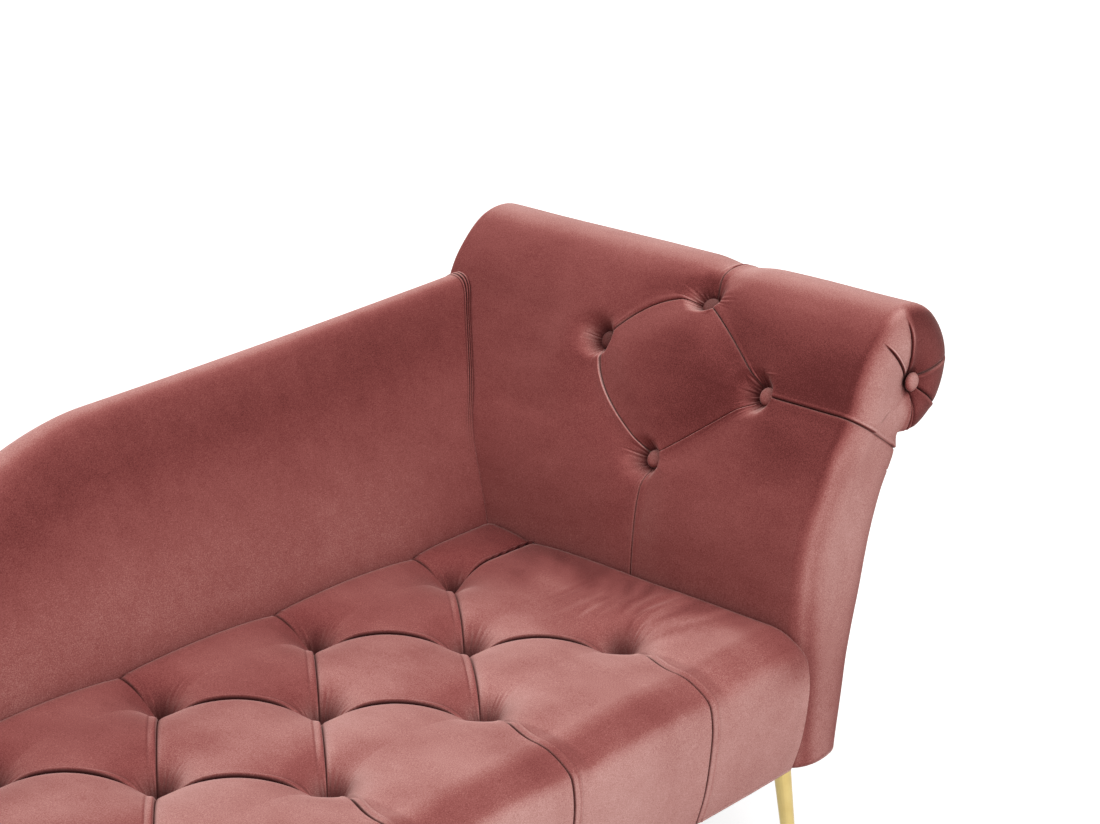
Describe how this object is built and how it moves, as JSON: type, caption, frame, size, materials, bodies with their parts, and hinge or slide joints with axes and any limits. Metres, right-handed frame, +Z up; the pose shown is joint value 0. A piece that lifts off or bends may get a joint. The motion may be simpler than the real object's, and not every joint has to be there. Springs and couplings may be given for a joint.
{
  "type": "fainting couch",
  "caption": "Tufted velvet fainting couch with a scrolled raised arm, a low back that sweeps down to the foot, and slim tapered metal legs.",
  "frame": {"origin": "the middle of the footprint, on the floor", "axes": "+X towards the scrolled arm, +Y towards the back, +Z up"},
  "size_m": [1.5462, 0.7204, 0.7569],
  "materials": {
    "velvet": "dusty rose velvet with a soft nap",
    "zinc_steel": "zinc-plated, satin",
    "brass": "pale gold, satin",
    "nylon": "matte",
    "spring_steel": "plain drawn wire",
    "board": "smooth hardboard",
    "plywood": "sanded plywood",
    "deck_cloth": "woven, undyed",
    "black_cloth": "thin non-woven cloth",
    "hardwood": "planed, unvarnished"
  },
  "bodies": {
    "root": {"arm_batten_low": "hardwood", "arm_batten_middle": "hardwood", "arm_batten_outer": "hardwood", "arm_batten_top": "hardwood", "arm_button_front": "velvet", "arm_button_high": "velvet", "arm_button_low": "velvet", "arm_button_rear": "velvet", "arm_cushion": "velvet", "arm_deck": "board", "arm_outer_panel": "velvet", "arm_panel_front": "plywood", "arm_panel_rear": "plywood", "back_cushion": "velvet", "back_deck": "board", "back_outer_panel": "velvet", "back_rail": "hardwood", "back_rib_1": "plywood", "back_rib_2": "plywood", "back_rib_3": "plywood", "back_rib_4": "plywood", "back_top_rail": "hardwood", "corner_block_front_foot": "hardwood", "corner_block_front_head": "hardwood", "corner_block_rear_foot": "hardwood", "corner_block_rear_head": "hardwood", "cross_rail_1": "hardwood", "cross_rail_2": "hardwood", "dust_cover": "black_cloth", "foot_rail": "hardwood", "front_rail": "hardwood", "glide_front_foot": "nylon", "glide_front_head": "nylon", "glide_rear_foot": "nylon", "glide_rear_head": "nylon", "head_rail": "hardwood", "leg_front_foot": "brass", "leg_front_head": "brass", "leg_plate_front_foot": "zinc_steel", "leg_plate_front_head": "zinc_steel", "leg_plate_rear_foot": "zinc_steel", "leg_plate_rear_head": "zinc_steel", "leg_rear_foot": "brass", "leg_rear_head": "brass", "rosette_front": "velvet", "rosette_rear": "velvet", "seat_cushion": "velvet", "seat_deck": "deck_cloth", "spring_1": "spring_steel", "spring_2": "spring_steel", "spring_3": "spring_steel", "spring_4": "spring_steel", "spring_5": "spring_steel", "spring_6": "spring_steel", "spring_7": "spring_steel", "spring_strip_back": "zinc_steel", "spring_strip_front": "zinc_steel"}
  },
  "joints": []
}
